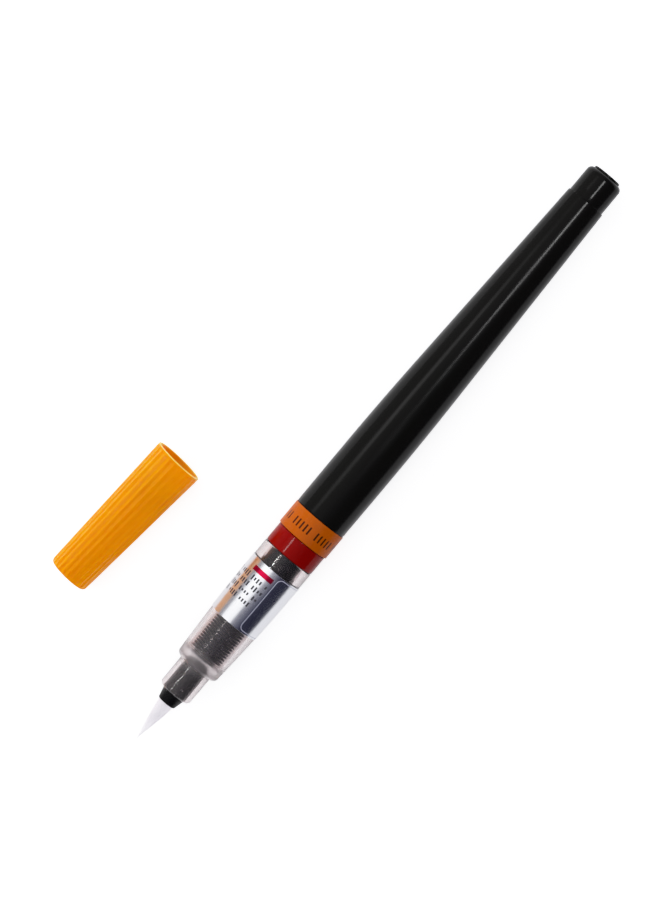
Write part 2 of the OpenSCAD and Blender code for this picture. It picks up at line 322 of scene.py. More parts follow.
def feederPlastic():
    # ABS, moulded with a fine spark-eroded skin, charcoal: wetted evenly by ink
    material, tree, shader = newMaterial("absMouldedCharcoal", "43444F", 0.4, IOR=1.53,
                                         Specular_IOR_Level=0.15)
    mottle(tree, shader, penCoordinates(tree), ("3F404B", "4B4C58"), (0.34, 0.5),
           {"drift": 3.0, "skin": 0.2}, 0.15)
    return material


def neckPlastic():
    # polypropylene, moulded, dark: a plain screw neck
    material, tree, shader = newMaterial("polypropyleneMouldedCharcoal", "121215", 0.22, IOR=1.49,
                                         Specular_IOR_Level=0.15)
    mottle(tree, shader, penCoordinates(tree), ("0F0F12", "17171B"), (0.16, 0.28),
           {"drift": 4.0, "skin": 0.4}, 0.1)
    return material


def ringPlastic():
    # polypropylene, moulded, dyed red: deep colour under a clear gloss
    material, tree, shader = newMaterial("polypropyleneMouldedRed", "780503", 0.2, IOR=1.49,
                                         Specular_IOR_Level=0.1, Subsurface_Weight=0.1,
                                         Subsurface_Radius=(1.0, 0.15, 0.08), Subsurface_Scale=0.8 * mm)
    mottle(tree, shader, penCoordinates(tree), ("760402", "800503"), (0.11, 0.14),
           {"drift": 4.0, "skin": 0.5}, 0.1)
    return material


def bandFilm():
    # printed polyester film, glossy, stuck round the barrel; plain strokes stand where its small print is
    material, tree, shader = newMaterial("polyesterFilmOrange", "AA4D01", 0.24, IOR=1.55,
                                         Specular_IOR_Level=0.07)
    start, end, radius = span("colour_band")
    strokes = {"row": (start + end) / 2 - 0.2, "half": 1.05, "pitch": 1.15, "fill": 0.38, "word": 6,
               "reach": 9.2, "ink": "3A1A04"}
    vector = penCoordinates(tree)
    tint = mottle(tree, shader, vector, ("A64A00", "AE5200"), (0.2, 0.3), {"drift": 5.0, "skin": 0.3}, 0.05)
    along, around = unrolled(tree, vector, radius)
    index, share = repeats(tree, around, 0.0, strokes["pitch"])
    # the last place of each word is left empty
    inWord = addNode(tree, "ShaderNodeMath", {0: index, 1: float(strokes["word"])},
                     operation="FLOORED_MODULO")
    stroke = allOf(tree, ("COMPARE", along, strokes["row"], strokes["half"]),
                   ("COMPARE", around, 0.0, strokes["reach"]),
                   ("LESS_THAN", share, strokes["fill"]),
                   ("LESS_THAN", inWord.outputs[0], strokes["word"] - 1.5))
    printed = addNode(tree, "ShaderNodeMix", {
        "Factor": stroke, 6: tint.outputs[2], 7: hexColour(strokes["ink"])}, data_type="RGBA")
    tree.links.new(printed.outputs[2], shader.inputs["Base Color"])
    return material


def labelFoil():
    # aluminised polyester film, mirror bright, with plain dark ticks for small print and one plain red bar
    material, tree, shader = newMaterial("polyesterFilmAluminised", "E8EAF0", 0.1, Metallic=1.0)
    ticks = {"start": 41.9, "pitch": 1.95, "rows": 4, "cell": 0.85, "fill": 0.55, "word": 5, "shift": 3.0,
             "shortest": 0.14, "tallest": 0.4, "around": 5.05, "halfAround": 5.95}
    bar = {"along": 50.8, "halfAlong": 0.65, "around": 2.15, "halfAround": 3.15}
    seam = {"along": 44.9, "halfAlong": 7.7, "around": -6.4, "halfAround": 4.5, "corner": 1.3, "width": 0.08}
    vector = penCoordinates(tree)
    along, around = unrolled(tree, vector, span("section_label")[2])

    # each row is a run of plain ticks of uneven height, with a gap after every few
    row, rowShare = repeats(tree, along, ticks["start"], ticks["pitch"])
    cell, cellShare = repeats(tree, around, 0.0, ticks["cell"])
    key = addNode(tree, "ShaderNodeCombineXYZ", {0: row, 1: cell})
    chance = addNode(tree, "ShaderNodeTexWhiteNoise", {"Vector": key.outputs[0]}, noise_dimensions="3D")
    height = addNode(tree, "ShaderNodeMapRange", {
        "Value": chance.outputs["Value"], "To Min": ticks["shortest"], "To Max": ticks["tallest"]})
    shifted = addNode(tree, "ShaderNodeMath", {0: row, 1: ticks["shift"], 2: cell}, operation="MULTIPLY_ADD")
    inWord = addNode(tree, "ShaderNodeMath", {0: shifted.outputs[0], 1: float(ticks["word"])},
                     operation="FLOORED_MODULO")
    tick = allOf(tree, ("COMPARE", row, (ticks["rows"] - 1) / 2, ticks["rows"] / 2),
                 ("COMPARE", around, ticks["around"], ticks["halfAround"]),
                 ("COMPARE", rowShare, 0.5, height.outputs[0]),
                 ("LESS_THAN", cellShare, ticks["fill"]),
                 ("LESS_THAN", inWord.outputs[0], ticks["word"] - 1.5))
    inBar = allOf(tree, ("COMPARE", along, bar["along"], bar["halfAlong"]),
                  ("COMPARE", around, bar["around"], bar["halfAround"]))

    # the film's end overlaps its start: its edge shows as a thin line with rounded corners
    point = addNode(tree, "ShaderNodeCombineXYZ", {0: along, 1: around})
    centred = addNode(tree, "ShaderNodeVectorMath", {
        0: point.outputs[0], 1: (seam["along"], seam["around"], 0)}, operation="SUBTRACT")
    folded = addNode(tree, "ShaderNodeVectorMath", {0: centred.outputs[0]}, operation="ABSOLUTE")
    straight = (seam["halfAlong"] - seam["corner"], seam["halfAround"] - seam["corner"], 0)
    past = addNode(tree, "ShaderNodeVectorMath", {0: folded.outputs[0], 1: straight}, operation="SUBTRACT")
    outside = addNode(tree, "ShaderNodeVectorMath", {0: past.outputs[0], 1: (0, 0, 0)}, operation="MAXIMUM")
    fromCorner = addNode(tree, "ShaderNodeVectorMath", {0: outside.outputs[0]}, operation="LENGTH")
    onSeam = allOf(tree, ("COMPARE", fromCorner.outputs["Value"], seam["corner"], seam["width"]))

    bare = addNode(tree, "ShaderNodeMix", {
        "Factor": onSeam, 6: hexColour("DCDDE2"), 7: hexColour("B4B4C8")}, data_type="RGBA")
    withTicks = addNode(tree, "ShaderNodeMix", {
        "Factor": tick, 6: bare.outputs[2], 7: hexColour("24242C")}, data_type="RGBA")
    withBar = addNode(tree, "ShaderNodeMix", {
        "Factor": inBar, 6: withTicks.outputs[2], 7: hexColour("B01038")}, data_type="RGBA")
    tree.links.new(withBar.outputs[2], shader.inputs["Base Color"])

    # the ink and the seam are matt, the film and the bar are polished metal with a faint grain
    grain = addNode(tree, "ShaderNodeTexNoise", {"Vector": vector, "Scale": 0.4, "Detail": 2.0})
    rough = addNode(tree, "ShaderNodeMapRange", {
        "Value": grain.outputs[0], "From Min": 0.3, "From Max": 0.7, "To Min": 0.22, "To Max": 0.25})
    ink = addNode(tree, "ShaderNodeMath", {0: tick, 1: onSeam}, operation="MAXIMUM").outputs[0]
    inkRough = addNode(tree, "ShaderNodeMix", {"Factor": ink, 2: rough.outputs[0], 3: 0.4})
    tree.links.new(inkRough.outputs[0], shader.inputs["Roughness"])
    metal = addNode(tree, "ShaderNodeMath", {0: 1.0, 1: ink}, operation="SUBTRACT")
    tree.links.new(metal.outputs[0], shader.inputs["Metallic"])
    return material


def bristleNylon():
    # nylon, drawn and tapered: white filaments, slightly clear, with a silky sheen along them
    material, tree, shader = newMaterial("nylonDrawnWhite", "F2EFF4", 0.38, IOR=1.53,
                                         Specular_IOR_Level=0.2, Subsurface_Weight=0.15,
                                         Subsurface_Radius=(0.8, 0.7, 0.8), Subsurface_Scale=0.3 * mm)
    vector = penCoordinates(tree)
    strand = addNode(tree, "ShaderNodeMapping", {"Vector": vector, "Scale": (0.15, 1.0, 1.0)})
    mottle(tree, shader, strand.outputs["Vector"], ("ECE8EE", "F8F5FA"), (0.3, 0.45),
           {"drift": 0.25, "skin": 0.15})
    return material


def wickFibre():
    # polyester fibre, bundled and bonded: a matt pale rod with fine lengthwise strands
    material, tree, shader = newMaterial("polyesterFibreBonded", "D9D6D2", 0.85, IOR=1.57)
    strand = addNode(tree, "ShaderNodeMapping", {"Vector": penCoordinates(tree), "Scale": (0.1, 1.0, 1.0)})
    mottle(tree, shader, strand.outputs["Vector"], ("C4C0BC", "E6E3E0"), (0.75, 0.95),
           {"drift": 0.12, "skin": 0.08}, 0.4, 0.03)
    return material


def sealRubber():
    # butyl rubber, moulded: matt dark grey with a talc bloom
    material, tree, shader = newMaterial("butylRubberMoulded", "3A3C42", 0.7, IOR=1.52)
    mottle(tree, shader, penCoordinates(tree), ("34363B", "484A50"), (0.6, 0.8),
           {"drift": 1.5, "skin": 0.2}, 0.2)
    return material


def ballSteel():
    # stainless steel, ground and lapped: a bright ball with the finest haze
    material, tree, shader = newMaterial("stainlessSteelLapped", "C9CACC", 0.12, Metallic=1.0)
    mottle(tree, shader, penCoordinates(tree), ("C2C3C6", "D2D3D5"), (0.08, 0.16),
           {"drift": 1.0, "skin": 0.1})
    return material


def paperFloor():
    # seamless studio paper, matt with a faint tooth: a lift in what the eye sees keeps it white
    material, tree, shader = newMaterial("paperSeamlessWhite", "F4F4F4", 0.9, Specular_IOR_Level=0.15,
                                         Emission_Color=hexColour("FFFFFF"))
    glow = {"all": 0.25, "seen": 0.5}
    place = addNode(tree, "ShaderNodeTexCoord")
    tooth = addNode(tree, "ShaderNodeTexNoise", {
        "Vector": place.outputs["Object"], "Scale": 900.0, "Detail": 3.0})
    shade = addNode(tree, "ShaderNodeMix", {
        "Factor": tooth.outputs[0], 6: hexColour("F2F2F2"), 7: hexColour("F8F8F8")}, data_type="RGBA")
    tree.links.new(shade.outputs[2], shader.inputs["Base Color"])
    eye = addNode(tree, "ShaderNodeLightPath")
    lift = addNode(tree, "ShaderNodeMath", {
        0: eye.outputs["Is Camera Ray"], 1: glow["seen"], 2: glow["all"]}, operation="MULTIPLY_ADD")
    tree.links.new(lift.outputs[0], shader.inputs["Emission Strength"])
    return material


view = {"lens": 150, "back": 0.9012, "tilt": 3.3, "turn": 50.085, "aside": 8.79, "along": 83.58}


def makeCamera():
    # it looks almost straight down, leaning towards the tail, with the pen turned across its view
    tilt, turn = math.radians(view["tilt"]), math.radians(view["turn"])
    target = Vector((penTip + view["along"] * mm, axisY + view["aside"] * mm, axisZ))
    back = Vector((math.sin(tilt), 0, math.cos(tilt)))
    alongPen = Vector((math.cos(tilt), 0, -math.sin(tilt)))
    acrossPen = Vector((0, 1, 0))
    right = alongPen * math.cos(turn) - acrossPen * math.sin(turn)
    up = alongPen * math.sin(turn) + acrossPen * math.cos(turn)
    bpy.ops.object.camera_add(location=target + back * view["back"])
    camera = bpy.context.active_object
    camera.name = "camera"
    camera.rotation_euler = Matrix((right, up, back)).transposed().to_euler()
    camera.data.lens = view["lens"]
    camera.data.sensor_width = 36
    camera.data.clip_start = 0.01
    bpy.context.scene.camera = camera


deselect()
makeCamera()
print("camera made")


# the cap's sizes are in mm from its closed end
cap = {"length": 39.0, "mouthR": 6.5, "endR": 5.38, "boreR": 5.93, "boreLen": 8.6, "linerR": 5.35,
       "linerLen": 5.0, "coreR": 4.9, "coreEndR": 4.3, "endWall": 1.3, "round": 0.9,
       "lip": 0.9, "lipRound": 0.25, "chamfer": 0.12, "stations": 12, "endLoopR": 2.0, "endLoopGap": 0.4}
flute = {"count": 24, "depth": 0.2, "perFlute": 8, "from": 0.3, "pastLip": 0.2, "runOut": (0.15, 0.35),
         "skinR": 4.6, "skinDepth": 0.6}
liner = {"gap": 0.02, "noseGap": 0.03, "leadIn": 0.4, "edge": 0.08}


def placeCap(piece):
    # turns a piece made along X into the cap's place, which its mouth's mount gives
    mouth = mounts["cap_mouth"]
    axis = Vector(mouth["axis"]).normalized()
    half = mouth["dims"]["length_mm"] / 2 * mm
    closedEnd = Vector(mouth["pos_m"]) + axis * (half - cap["length"] * mm)
    only(piece)
    piece.rotation_mode = "QUATERNION"
    piece.rotation_quaternion = axis.to_track_quat("X", "Z")
    piece.location = closedEnd
    bpy.ops.object.transform_apply(location=True, rotation=True, scale=False)
    return piece


def capOuterR(x):
    return cap["endR"] + (cap["mouthR"] - cap["endR"]) * x / cap["length"]


def makeCapShell():
    length, lip = cap["length"], cap["length"] - cap["lip"]
    boreEnd = length - cap["boreLen"]
    linerEnd = boreEnd - cap["linerLen"]
    endR = cap["endR"] - cap["round"]
    end = arc(cap["round"], endR, cap["round"], 90, 180)
    places = [cap["round"] + (lip - cap["round"]) * i / cap["stations"]
              for i in range(1, cap["stations"] + 1)]
    places += [lip + past for past in flute["runOut"]]    # the flutes run out between these
    outline = ([(0, 0), (0, cap["endLoopR"]), (0, endR - cap["endLoopGap"])] + end[::-1]
               + [(x, capOuterR(x)) for x in places]
               + arc(length - cap["lipRound"], cap["mouthR"] - cap["lipRound"], cap["lipRound"], 90, 0)
               + [(length, cap["boreR"] + cap["chamfer"]), (length - cap["chamfer"], cap["boreR"]),
                  (boreEnd, cap["boreR"]), (boreEnd, cap["linerR"]), (linerEnd, cap["linerR"]),
                  (linerEnd, cap["coreR"]), (cap["endWall"], cap["coreEndR"]), (cap["endWall"], 0)])
    steps = flute["count"] * flute["perFlute"]
    piece = spun("capShell", outline, steps=steps, onPen=False)
    for phase in range(1, flute["perFlute"]):
        cutFlutes(piece, phase, lip + flute["pastLip"], steps)
    only(piece)
    bpy.ops.object.shade_smooth_by_angle(angle=math.radians(50))
    return placeCap(piece)


def cutFlutes(piece, phase, end, steps):
    # draws one of the places across every flute in towards the axis, by its own share of the depth
    only(piece)
    bpy.ops.object.mode_set(mode="EDIT")
    bpy.ops.mesh.select_mode(type="VERT")
    bpy.ops.mesh.select_all(action="DESELECT")
    bpy.ops.object.mode_set(mode="OBJECT")
    for vertex in piece.data.vertices:
        x, y, z = (c / mm for c in vertex.co)
        skinR = capOuterR(max(x, cap["round"])) - cap["round"] * flute["skinDepth"]
        if flute["from"] < x < end and math.hypot(y, z) > max(flute["skinR"], skinR):
            turn = math.degrees(math.atan2(y, z)) * steps / 360
            vertex.select = abs((turn - phase + 0.5) % flute["perFlute"] - 0.5) < 0.3
    bpy.ops.object.mode_set(mode="EDIT")
    share = (1 - math.cos(math.tau * phase / flute["perFlute"])) / 2
    shrink = 1 - flute["depth"] * share / ((cap["endR"] + cap["mouthR"]) / 2)
    bpy.ops.transform.resize(value=(1, shrink, shrink), center_override=(0, 0, 0))
    bpy.ops.object.mode_set(mode="OBJECT")


def makeCapLiner():
    back = cap["length"] - cap["boreLen"] - cap["linerLen"]
    front, back = back + cap["linerLen"], back + liner["gap"]
    innerR = mounts["nose"]["dims"]["r_mm"] + liner["noseGap"]
    outerR = cap["linerR"] - liner["gap"]
    outline = [(back, innerR), (back, outerR), (front, outerR), (front, innerR + liner["leadIn"]),
               (front - liner["leadIn"], innerR), (back, innerR)]
    return placeCap(soften(spun("capInnerSeal", outline, onPen=False), liner["edge"]))


onBody(makeCapShell(), "cap", "cap_shell", capPlastic())
onBody(makeCapLiner(), "cap", "cap_inner_seal", linerPlastic())
print("cap made")


# the barrel's sizes and those of the pieces on it are in mm from the brush point
barrel = {"wall": 1.05, "frontR": 7.08, "bellyX": 81.0, "bellyR": 7.13, "bellyRise": 12, "kneeX": 88.0,
          "kneeCurve": 0.0006, "taper": 0.0285, "tailLen": 8.5, "tailR": 4.9, "step": 0.1, "tailRound": 1.4,
          "tailLoop": 2.5, "edge": 0.25, "bandGap": 0.1, "seatDepth": 0.37, "neckBoreR": 6.02,
          "neckBoreEnd": 70.1, "boreStart": 72.0, "boreLead": 2, "plugBoreR": 3.25, "plugBoreLen": 6,
          "stations": (76, 81, 86, 90, 94, 98, 102, 106, 110, 114), "rearFrom": 118, "rearStations": 9,
          "boreStations": (150, 130, 112, 100, 88), "soft": 0.06}


def barrelR(x):
    # straight behind the band, then a soft knee, then an even taper to the tail
    past = x - barrel["kneeX"]
    kneeLen = barrel["taper"] / (2 * barrel["kneeCurve"])
    if past < 0:
        before = max(0, (barrel["bellyX"] - x) / barrel["bellyRise"])
        return barrel["bellyR"] - (barrel["bellyR"] - barrel["frontR"]) * before
    if past < kneeLen:
        return barrel["bellyR"] - barrel["kneeCurve"] * past ** 2
    return barrel["bellyR"] - barrel["taper"] * (past - kneeLen / 2)


def makeBarrelShell():
    b = barrel
    start, end = span("barrel_shell")[:2]
    bandEnd, bandR = span("colour_band")[1:]
    tailX = span("tail_plug")[1] - b["tailLen"]
    seatR = bandR - b["seatDepth"]
    shoulder = bandEnd + b["bandGap"]
    stations = [shoulder + b["edge"] + 0.05, *b["stations"]]
    stations += [tailX - (tailX - b["rearFrom"]) * i / b["rearStations"]
                 for i in range(b["rearStations"], -1, -1)]
    outline = ([(start, b["neckBoreR"]), (start, seatR), (shoulder, seatR)]
               + arc(shoulder + b["edge"], barrelR(bandEnd + 0.4) - b["edge"], b["edge"], 180, 90, 4)
               + [(x, barrelR(x)) for x in stations]
               + [(tailX + b["step"], b["tailR"]), (tailX + b["tailLoop"], b["tailR"])]
               + arc(end - b["tailRound"], b["tailR"] - b["tailRound"], b["tailRound"], 90, 0, 8)
               + [(end, b["plugBoreR"]), (end - b["plugBoreLen"], b["plugBoreR"])]
               + [(tailX - b["boreLead"], barrelR(tailX) - b["wall"])]
               + [(x, barrelR(x) - b["wall"]) for x in b["boreStations"]]
               + [(b["boreStart"], b["bellyR"] - b["wall"]), (b["neckBoreEnd"], b["neckBoreR"]),
                  (start, b["neckBoreR"])])
    return soften(spun("barrelShell", outline, steps=160), b["soft"], segments=2)


tail = {"gap": 0.02, "head": 0.68, "headR": 3.7, "round": 0.22, "roundEnd": 0.42, "soft": 0.04,
        "crown": ((0.14, 3.3), (0.10, 2.4), (0.03, 1.2))}


def makeTailPlug():
    start, end = span("tail_plug")[:2]
    shankR, head = barrel["plugBoreR"] - tail["gap"], end - tail["head"]
    outline = ([(start, 0), (start, shankR), (head, shankR), (head, tail["headR"])]
               + arc(end - tail["roundEnd"], tail["headR"] - tail["round"], tail["round"], 90, 20, 4)
               + [(end - below, r) for below, r in tail["crown"]] + [(end, 0)])
    return soften(spun("tailPlug", outline, steps=96), tail["soft"], segments=2, angle=50)


film = {"bandThick": 0.35, "bandSoft": 0.14, "labelProud": 0.08, "labelThick": 0.06, "labelSoft": 0.02}


def makeColourBand():
    start, end, radius = span("colour_band")
    innerR = radius - film["bandThick"]
    outline = [(start, innerR), (start, radius), (end, radius), (end, innerR), (start, innerR)]
    return soften(spun("colourBand", outline, steps=160), film["bandSoft"])


neck = {"rootR": 4.4, "crestR": 4.9, "collarR": 4.5, "pitch": 1.5, "threadLen": 6.0, "flange": 1.4,
        "lead": 0.6, "crest": 0.4, "boreR": 3.0, "sealR": 3.62, "sealEnd": 0.6, "ringBoreR": 3.65,
        "endBoreR": 4.8, "step": 0.1, "soft": 0.08}
ring = {"boreR": 5.0, "soft": 0.28}


def makeNeck():
    # its thread is drawn as plain ridges
    n = neck
    start, end, radius = span("neck_connector")
    ringStart, ringEnd = span("stopper_ring")[:2]
    sealStart, sealEnd = span("neck_plug")[:2]
    ridges = []
    for i in range(int(n["threadLen"] // n["pitch"])):
        x = start + n["lead"] + i * n["pitch"]
        ridges += [(x, n["rootR"]), (x + n["crest"], n["crestR"]), (x + 2 * n["crest"], n["crestR"]),
                   (x + 3 * n["crest"], n["rootR"])]
    threadEnd = start + n["threadLen"]
    collarX = threadEnd + n["flange"]
    outline = ([(start, n["boreR"]), (start, n["rootR"])] + ridges
               + [(threadEnd, n["rootR"]), (threadEnd + n["crest"], n["crestR"]), (collarX, n["crestR"]),
                  (collarX, n["collarR"]), (ringStart, n["collarR"]), (ringStart, n["crestR"]),
                  (ringEnd, n["crestR"]), (ringEnd + n["step"], radius), (end, radius), (end, n["endBoreR"]),
                  (ringStart, n["ringBoreR"]), (sealEnd + n["sealEnd"], n["sealR"]), (sealStart, n["sealR"]),
                  (sealStart, n["boreR"]), (start, n["boreR"])])
    return soften(spun("neckConnector", outline), n["soft"], segments=2)


def makeStopperRing():
    start, end, radius = span("stopper_ring")
    outline = [(start, ring["boreR"]), (start, radius), (end, radius), (end, ring["boreR"]),
               (start, ring["boreR"])]
    return soften(spun("stopperRing", outline, steps=160), ring["soft"], segments=4)


gloss = barrelPlastic()
onBody(makeBarrelShell(), "barrel", "barrel_shell", gloss)
onBody(makeTailPlug(), "barrel", "tail_plug", gloss)
onBody(makeColourBand(), "barrel", "colour_band", bandFilm())
onBody(makeNeck(), "barrel", "neck_connector", neckPlastic())
onBody(makeStopperRing(), "stopper_ring", "stopper_ring", ringPlastic())
print("barrel and ring made")


section = {"noseR": 4.45, "noseRound": 1.1, "noseX": 18.0, "noseBoreR": 3.33, "noseBoreEnd": 24.4,
           "shoulderX": 22.3, "shoulderEnd": 24.0, "shoulderR": 5.95, "shoulderRound": 1.3, "swell": 26.0,
           "shoulderLead": 0.2, "stations": 16, "boreR": 5.0, "boreRound": 1.0, "boreLead": 1.6,
           "boreStep": 1.2, "rearRound": 0.3, "soft": 0.12}


def sectionR(x):
    # the grip swells from its shoulder to its full radius along a quarter of a sine wave
    full = span("section_shell")[2]
    u = min(1, (x - section["shoulderEnd"]) / section["swell"])
    return section["shoulderR"] + (full - section["shoulderR"]) * math.sin(math.pi / 2 * u)


def makeSectionShell():
    s = section
    start, end, radius = span("section_shell")
    noseEdgeR = s["noseR"] - s["noseRound"]
    grip = [s["shoulderEnd"] + s["swell"] * i / s["stations"] for i in range(s["stations"] + 1)]
    boreX = s["noseBoreEnd"] + s["boreLead"]
    outline = (arc(start + s["noseRound"], noseEdgeR, s["noseRound"], 180, 90, 8)
               + [(s["noseX"], s["noseR"]), (s["shoulderX"], s["noseR"])]
               + arc(s["shoulderEnd"] - s["shoulderLead"], s["shoulderR"] - s["shoulderRound"],
                     s["shoulderRound"], 180, 98, 8)
               + [(x, sectionR(x)) for x in grip]
               + arc(end - s["rearRound"], radius - s["rearRound"], s["rearRound"], 90, 0, 4)
               + [(end, s["boreR"]), (boreX, s["boreR"])]
               + arc(boreX, s["boreR"] - s["boreRound"], s["boreRound"], 90, 150, 5)
               + [(s["noseBoreEnd"] - s["boreStep"], s["noseBoreR"]), (start, s["noseBoreR"]),
                  (start, noseEdgeR)])
    return soften(spun("sectionShell", outline, steps=160), s["soft"])


def makeLabel():
    start, end = span("section_label")[:2]
    stations = [start + (end - start) * i / 8 for i in range(9)]
    outer = [(x, sectionR(x) + film["labelProud"]) for x in stations]
    inner = [(x, r - film["labelThick"]) for x, r in reversed(outer)]
    outline = outer + inner + outer[:1]
    return soften(spun("sectionLabel", outline, steps=160), film["labelSoft"], segments=1)


holder = {"mouthR": 2.1, "mouthEnd": 15.0, "lipRound": 0.35, "collarR": 3.02, "collarLen": 2.6, "step": 0.3,
          "rootR": 2.32, "rootEnd": 16.5, "wickR": 0.97, "soft": 0.08}
slot = {"width": 0.6, "y": -0.9, "holderFrom": 16.2, "holderTo": 24.9, "holderFloor": 1.95, "holderTop": 4,
        "combFloor": 1.6, "combTop": 6}


def cutSlot(piece, start, end, floor, top):
    # the air slot along the top of the holder and the comb, in mm from the brush point and the pen's axis
    centre = Vector((penTip, axisY, axisZ))
    low = centre + Vector((start, slot["y"] - slot["width"] / 2, floor)) * mm
    high = centre + Vector((end, slot["y"] + slot["width"] / 2, top)) * mm
    cut(piece, low, high)


def makeHolder():
    h = holder
    start, end, radius = span("brush_holder")
    collarEnd = start + h["collarLen"]
    outline = ([(start, h["mouthR"])]
               + arc(start + h["lipRound"], h["mouthR"], h["lipRound"], 160, 90, 4)
               + [(collarEnd, h["collarR"]), (collarEnd + h["step"], radius), (end, radius),
                  (end, h["wickR"]), (h["rootEnd"], h["wickR"]), (h["rootEnd"], h["rootR"]),
                  (h["mouthEnd"], h["rootR"]), (h["mouthEnd"], h["mouthR"]), (start, h["mouthR"])])
    piece = spun("brushHolder", outline)
    cutSlot(piece, slot["holderFrom"], slot["holderTo"], slot["holderFloor"], slot["holderTop"])
    return soften(piece, h["soft"], segments=2)


comb = {"first": 26.62, "pitch": 0.75, "fin": 0.35, "count": 17, "finR": 4.4, "coreR": 2.6,
        "edge": ((0.04, 0.05), (0.1, 0))}


def makeComb():
    c = comb
    start, end, radius = span("feeder_comb")
    fins = []
    for i in range(c["count"]):
        x = c["first"] + i * c["pitch"]
        fins += ([(x, c["coreR"])] + [(x + along, c["finR"] - below) for along, below in c["edge"]]
                 + [(x + c["fin"] - along, c["finR"] - below) for along, below in reversed(c["edge"])]
                 + [(x + c["fin"], c["coreR"])])
    flange = c["first"] + c["count"] * c["pitch"]
    outline = ([(start, holder["wickR"]), (start, c["coreR"])] + fins
               + [(flange, c["coreR"]), (flange, radius), (end, radius), (end, holder["wickR"]),
                  (start, holder["wickR"])])
    piece = spun("feederComb", outline, steps=96)
    cutSlot(piece, start - 1, flange - 0.1, slot["combFloor"], slot["combTop"])
    only(piece)
    bpy.ops.object.shade_smooth_by_angle(angle=math.radians(40))
    return piece


onBody(makeSectionShell(), "front_section", "section_shell", sectionPlastic())
onBody(makeLabel(), "front_section", "section_label", labelFoil())
onBody(makeHolder(), "front_section", "brush_holder", holderPlastic())
onBody(makeComb(), "front_section", "feeder_comb", feederPlastic())
print("section made")


tuft = {"showing": 11.3, "r": 2.16, "core": 0.86, "bristles": 700, "bristleR": 0.075, "sides": 5, "rings": 7,
        "tipR": 0.12, "wander": 0.1, "wave": 0.05, "innerShare": 0.45, "shortTips": (0.05, 0.9), "seed": 7}


def flankR(u):
    # the tuft's radius, as a share of its largest, at a share of its length from the point
    return 1.28 * u - 0.28 * u * u


def makeTuft():
    # a plain core fills the tuft, and fine bristles lie over it and past its point
    end = span("brush_tuft")[1]
    outline = [(0.02, 0), (0.1, 0.1)]
    for u in (0.05, 0.1, 0.2, 0.35, 0.5, 0.7, 0.85, 1):
        fill = tuft["core"] + (1 - tuft["core"]) * (1 - u) ** 4
        outline.append((tuft["showing"] * u, tuft["r"] * flankR(u) * fill + 0.06 * (1 - u)))
    outline += [(end, tuft["r"] * tuft["core"]), (end, 0)]
    piece = spun("brushTuft", outline, steps=48)

    # one bristle, a tapered five-sided rod along X, of unit length
    deselect()
    bpy.ops.mesh.primitive_cone_add(vertices=tuft["sides"], radius1=1, radius2=tuft["tipR"], depth=1,
                                    end_fill_type="NGON", rotation=(0, -math.pi / 2, 0),
                                    location=(0.5, 0, 0))
    pattern = bpy.context.active_object
    bpy.ops.object.transform_apply(location=True, rotation=True, scale=False)
    bpy.ops.object.mode_set(mode="EDIT")
    for i in range(1, tuft["rings"]):
        bpy.ops.mesh.select_all(action="SELECT")
        bpy.ops.mesh.bisect(plane_co=(i / tuft["rings"], 0, 0), plane_no=(1, 0, 0))
    bpy.ops.object.mode_set(mode="OBJECT")

    rng = random.Random(tuft["seed"])
    golden = math.pi * (3 - math.sqrt(5))    # the turn from each bristle to the next, as in a sunflower
    bristles = []
    # the inner bristles reach the point, and the outer ones end here and there along the flank
    for i in range(tuft["bristles"]):
        share = math.sqrt((i + 0.5) / tuft["bristles"])
        turn = i * golden + rng.uniform(-tuft["wander"], tuft["wander"])
        tipU = max(0.0, share - tuft["innerShare"]) * rng.uniform(*tuft["shortTips"])
        mesh = pattern.data.copy()
        bristle = bpy.data.objects.new("bristle", mesh)
        bpy.context.collection.objects.link(bristle)
        wave = rng.uniform(-tuft["wave"], tuft["wave"])
        for vertex in mesh.vertices:
            # x from 0 at the tip to 1 at the root
            along = vertex.co.x
            u = tipU + (1 - tipU) * along
            place = tuft["showing"] * u if along < 0.999 else end
            reach = (tuft["r"] - tuft["bristleR"]) * share * flankR(min(1, u))
            reach += wave * math.sin(math.pi * along)
            thick = tuft["bristleR"] * (0.25 + 0.75 * min(1, along * 1.6))
            vertex.co = (penTip + place * mm,
                         axisY + (reach * math.sin(turn) + vertex.co.y * thick) * mm,
                         axisZ + (reach * math.cos(turn) + vertex.co.z * thick) * mm)
        bristles.append(bristle)
    bpy.data.objects.remove(pattern, do_unlink=True)
    deselect()
    for bristle in bristles:
        bristle.select_set(True)
    piece.select_set(True)
    bpy.context.view_layer.objects.active = piece
    bpy.ops.object.join()
    bpy.ops.object.shade_smooth_by_angle(angle=math.radians(60))
    return piece


onBody(makeTuft(), "front_section", "brush_tuft", bristleNylon())
print("tuft made")


def dress(node, material):
    # an inner piece keeps its CAD shape and gets a better material
    piece = frame["nodes"][node]
    piece.data.materials.clear()
    piece.data.materials.append(material)


dress("tuft_base", bristleNylon())
dress("feed_wick", wickFibre())
dress("inlet_tube", feederPlastic())
dress("neck_plug", sealRubber())
dress("seal_ball", ballSteel())
print("inner pieces finished")


# the lamps' strengths are in watts; a strip leans so many degrees from overhead, and spans places in mm
studio = {"floor": 6, "overhead": 30, "window": 15.5, "foilPanel": 5.4, "farFill": 2.6, "stripAway": 0.8}
strips = {"stripNear": {"lean": 40, "from": 15, "to": 190, "width": 0.18, "watts": 0.27},
          "stripFar": {"lean": -9, "from": 183, "to": 330, "width": 0.08, "watts": 1.0},
          "stripFront": {"lean": 29, "from": -115, "to": 20, "width": 0.03, "watts": 0.55}}
card = {"away": 30, "height": 9, "size": (30, 17), "glow": 0.5}


